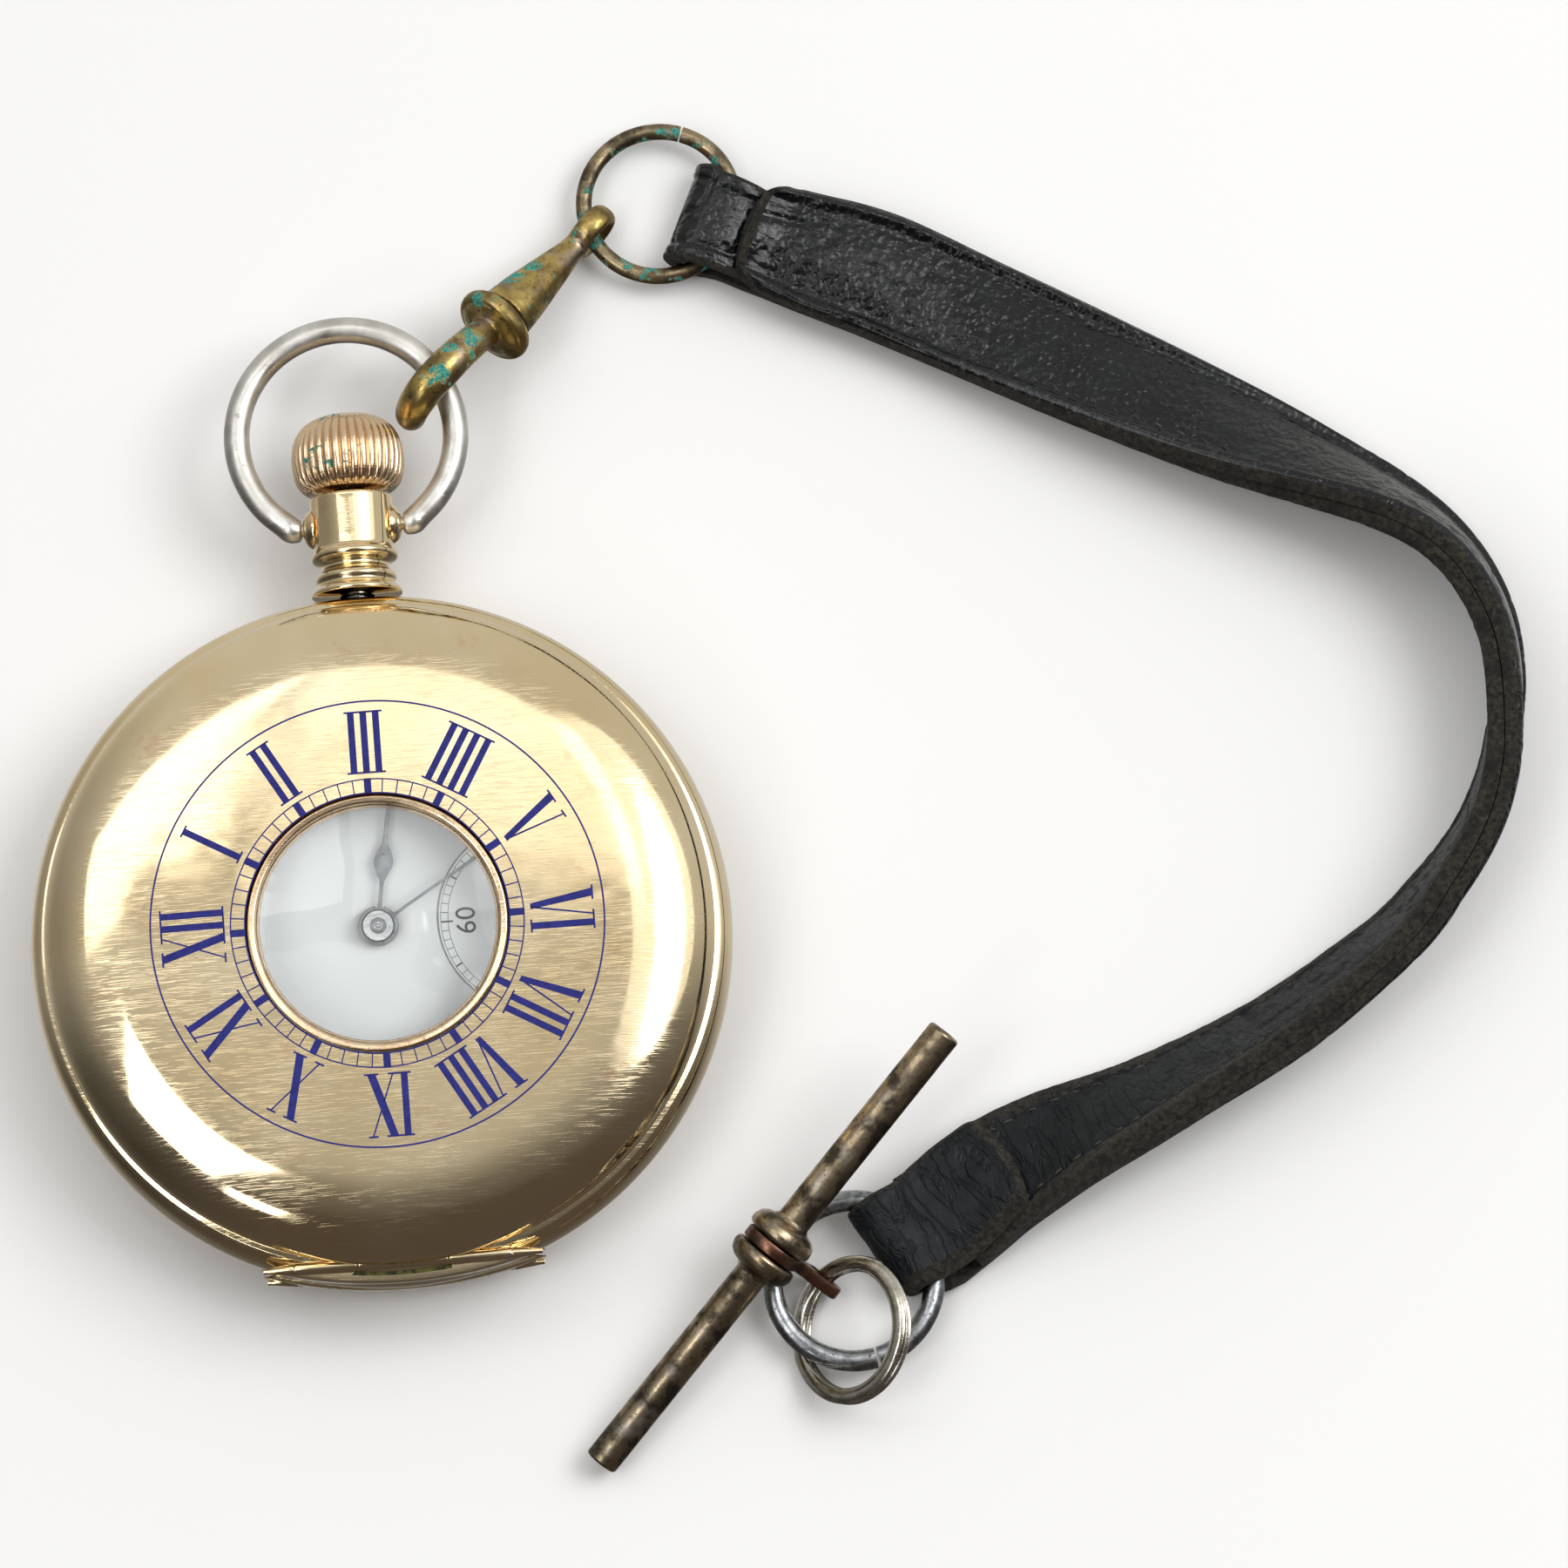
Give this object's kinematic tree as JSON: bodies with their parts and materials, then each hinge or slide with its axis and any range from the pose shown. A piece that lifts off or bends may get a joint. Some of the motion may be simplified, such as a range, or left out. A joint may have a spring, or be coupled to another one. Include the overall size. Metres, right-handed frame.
{
  "type": "hunter pocket watch with a leather albert strap",
  "caption": "Hinged-cover pocket watch with a centre window, side crown and swinging bow, clipped to a leather albert strap with rings and a bar.",
  "frame": {"origin": "centre of the case, on the outer face of the back cover where the watch rests", "axes": "+Z through the case towards the front cover, +Y towards the pendant and crown, +X to the right seen from the front"},
  "size_m": [0.1129, 0.1025, 0.0142],
  "materials": {
    "gold": "polished yellow gold, finely scratched",
    "rose_gold": "polished rose gold, tarnished in specks",
    "nickel_silver": "worn nickel silver",
    "nickel": "fine-grained nickel",
    "brass": "satin brass",
    "steel": "worn grey steel",
    "blued_steel": "blued steel",
    "old_brass": "tarnished brass with green patina",
    "old_bronze": "tarnished bronze",
    "copper": "dark copper-brown",
    "enamel": "glossy white enamel",
    "glass": "clear polished",
    "leather": "black grained leather"
  },
  "bodies": {
    "case": {"case_centre": "gold", "pendant": "gold", "bow_bush_left": "gold", "bow_bush_right": "gold", "hinge_pin_front": "gold", "hinge_pin_back": "gold", "crystal_bezel": "gold", "crystal": "glass", "dial": "enamel", "main_plate": "nickel", "barrel_bridge": "nickel", "train_bridge": "nickel", "balance_cock": "nickel", "barrel_bridge_screw_1": "blued_steel", "barrel_bridge_screw_2": "blued_steel", "barrel_bridge_screw_3": "blued_steel", "train_bridge_screw_1": "blued_steel", "train_bridge_screw_2": "blued_steel", "train_bridge_screw_3": "blued_steel", "balance_cock_screw_1": "blued_steel", "hairspring": "blued_steel"},
    "front_cover": {"front_cover": "gold", "window_bezel": "rose_gold", "window_glass": "glass"},
    "back_cover": {"back_cover": "gold"},
    "cuvette": {"cuvette": "gold"},
    "stem": {"winding_stem": "steel"},
    "crown": {"crown": "gold"},
    "winding_pinion": {"winding_pinion": "steel"},
    "crown_wheel": {"crown_wheel": "steel"},
    "ratchet": {"ratchet_wheel": "steel", "barrel_arbor": "steel"},
    "click": {"click": "steel"},
    "barrel": {"barrel": "brass", "mainspring": "blued_steel"},
    "centre_wheel": {"centre_wheel": "brass"},
    "third_wheel": {"third_wheel": "brass"},
    "fourth_wheel": {"fourth_wheel": "brass", "seconds_hand": "blued_steel"},
    "escape_wheel": {"escape_wheel": "steel"},
    "pallet_fork": {"pallet_fork": "steel"},
    "balance": {"balance_wheel": "brass"},
    "regulator": {"regulator": "steel"},
    "minute_hand": {"minute_hand": "blued_steel", "cannon_pinion": "steel"},
    "hour_hand": {"hour_hand": "blued_steel", "hour_wheel": "brass"},
    "bow": {"bow": "nickel_silver"},
    "clip": {"clip_hook": "old_brass"},
    "clip_gate": {"clip_gate": "old_brass"},
    "clip_swivel": {"clip_swivel": "old_brass"},
    "fob_ring": {"fob_ring": "old_bronze"},
    "strap": {"strap_face": "leather", "strap_lining": "leather"},
    "strap_ring": {"strap_ring": "steel"},
    "split_ring": {"split_ring": "nickel_silver"},
    "t_bar_band": {"t_bar_band": "copper"},
    "t_bar": {"t_bar": "old_bronze"}
  },
  "joints": [
    {"name": "front_cover_hinge", "type": "hinge", "parent": "case", "child": "front_cover", "pos_m": [0, -0.0245, 0.00975], "axis": [1, 0, 0], "range_deg": [0, 95]},
    {"name": "back_cover_hinge", "type": "hinge", "parent": "case", "child": "back_cover", "pos_m": [0, -0.0245, 0.00425], "axis": [-1, 0, 0], "range_deg": [0, 92]},
    {"name": "cuvette_hinge", "type": "hinge", "parent": "case", "child": "cuvette", "pos_m": [0, -0.0231, 0.0042], "axis": [-1, 0, 0], "range_deg": [0, 67]},
    {"name": "stem_pull", "type": "slide", "parent": "case", "child": "stem", "axis": [0, 1, 0], "range_m": [-0.0003, 0.0006]},
    {"name": "crown_turn", "type": "hinge", "parent": "stem", "child": "crown", "pos_m": [0, 0.037, 0.007], "axis": [0, 1, 0], "continuous": true},
    {"name": "winding_pinion_turn", "type": "hinge", "parent": "case", "child": "winding_pinion", "pos_m": [0, 0.02, 0.007], "axis": [0, 1, 0], "continuous": true},
    {"name": "crown_wheel_turn", "type": "hinge", "parent": "case", "child": "crown_wheel", "pos_m": [-0.003, 0.013, 0.0026], "axis": [0, 0, 1], "continuous": true},
    {"name": "ratchet_turn", "type": "hinge", "parent": "case", "child": "ratchet", "pos_m": [-0.00897, 0.00327, 0.0026], "axis": [0, 0, 1], "continuous": true},
    {"name": "click_pivot", "type": "hinge", "parent": "case", "child": "click", "pos_m": [-0.0169, 0.0006, 0.0026], "axis": [0, 0, 1], "range_deg": [0, 4], "stiffness_Nm_per_rad": 0.00002},
    {"name": "seconds_turn", "type": "hinge", "parent": "case", "child": "fourth_wheel", "pos_m": [0.0111, 0, 0.0094], "axis": [0, 0, -1], "continuous": true},
    {"name": "escape_wheel_turn", "type": "hinge", "parent": "case", "child": "escape_wheel", "pos_m": [0.01275, -0.00605, 0.0055], "axis": [0, 0, -1], "continuous": true},
    {"name": "third_wheel_turn", "type": "hinge", "parent": "case", "child": "third_wheel", "pos_m": [0.00624, 0.00524, 0.0055], "axis": [0, 0, -1], "continuous": true},
    {"name": "centre_wheel_turn", "type": "hinge", "parent": "case", "child": "centre_wheel", "pos_m": [0, 0, 0.0055], "axis": [0, 0, -1], "continuous": true},
    {"name": "barrel_turn", "type": "hinge", "parent": "case", "child": "barrel", "pos_m": [-0.00897, 0.00327, 0.0055], "axis": [0, 0, -1], "continuous": true},
    {"name": "balance_swing", "type": "hinge", "parent": "case", "child": "balance", "pos_m": [0.0045, -0.0125, 0.0055], "axis": [0, 0, 1], "range_deg": [-140, 140], "stiffness_Nm_per_rad": 0.0000001},
    {"name": "pallet_rock", "type": "hinge", "parent": "case", "child": "pallet_fork", "pos_m": [0.00975, -0.0084, 0.0063], "axis": [0, 0, 1], "range_deg": [-5.5, 5.5]},
    {"name": "regulator_turn", "type": "hinge", "parent": "case", "child": "regulator", "pos_m": [0.0045, -0.0125, 0.0026], "axis": [0, 0, 1], "range_deg": [-12, 12]},
    {"name": "minute_hand_turn", "type": "hinge", "parent": "case", "child": "minute_hand", "pos_m": [0, 0, 0.0105], "axis": [0, 0, -1], "continuous": true},
    {"name": "hour_hand_turn", "type": "hinge", "parent": "case", "child": "hour_hand", "pos_m": [0, 0, 0.0099], "axis": [0, 0, -1], "continuous": true},
    {"name": "bow_swing", "type": "hinge", "parent": "case", "child": "bow", "pos_m": [0, 0.0315, 0.007], "axis": [1, 0, 0], "range_deg": [-85, 85]},
    {"name": "clip_swing", "type": "hinge", "parent": "bow", "child": "clip", "pos_m": [0.00743, 0.04217, 0.00715], "axis": [0, 0, 1], "range_deg": [-8, 20]},
    {"name": "clip_gate_pivot", "type": "hinge", "parent": "clip", "child": "clip_gate", "pos_m": [0.01062, 0.04536, 0.00448], "axis": [-0.7071, 0.7071, 0], "range_deg": [0, 6], "stiffness_Nm_per_rad": 0.0002},
    {"name": "clip_swivel_turn", "type": "hinge", "parent": "clip", "child": "clip_swivel", "pos_m": [0.01172, 0.04646, 0.00615], "axis": [0.6657, 0.6657, -0.3371], "range_deg": [-30, 30]},
    {"name": "fob_ring_turn", "type": "hinge", "parent": "clip_swivel", "child": "fob_ring", "pos_m": [0.02475, 0.056, 0.00207], "axis": [0, 0, 1], "range_deg": [-4, 10]},
    {"name": "strap_swing", "type": "hinge", "parent": "fob_ring", "child": "strap", "pos_m": [0.02915, 0.05392, 0.00212], "axis": [-0.4264, -0.9045, 0], "range_deg": [-12, 12]},
    {"name": "strap_ring_turn", "type": "hinge", "parent": "strap", "child": "strap_ring", "pos_m": [0.0329, -0.0274, 0.00215], "axis": [0, 0, 1], "range_deg": [-20, 20]},
    {"name": "split_ring_turn", "type": "hinge", "parent": "strap_ring", "child": "split_ring", "pos_m": [0.0324, -0.0313, 0.004], "axis": [-0.6671, 0.0525, 0.7431], "range_deg": [-10, 0]},
    {"name": "t_bar_band_swing", "type": "hinge", "parent": "split_ring", "child": "t_bar_band", "pos_m": [0.03037, -0.02721, 0.00211], "axis": [0.4983, -0.867, 0], "range_deg": [-15, 0]},
    {"name": "t_bar_turn", "type": "hinge", "parent": "t_bar_band", "child": "t_bar", "pos_m": [0.02707, -0.025, 0.00572], "axis": [0.6807, 0.7049, 0.1994], "continuous": true}
  ],
  "couplings": [
    {"joint": "winding_pinion_turn", "follows": "crown_turn", "ratio": 1},
    {"joint": "crown_wheel_turn", "follows": "crown_turn", "ratio": -0.5},
    {"joint": "ratchet_turn", "follows": "crown_turn", "ratio": 0.5},
    {"joint": "cuvette_hinge", "follows": "back_cover_hinge", "ratio": 0.72},
    {"joint": "hour_hand_turn", "follows": "minute_hand_turn", "ratio": 0.083333},
    {"joint": "third_wheel_turn", "follows": "seconds_turn", "ratio": -0.13333},
    {"joint": "centre_wheel_turn", "follows": "seconds_turn", "ratio": 0.016667},
    {"joint": "barrel_turn", "follows": "seconds_turn", "ratio": -0.0020833},
    {"joint": "escape_wheel_turn", "follows": "seconds_turn", "ratio": -10},
    {"joint": "pallet_rock", "follows": "balance_swing", "ratio": -0.039286}
  ]
}
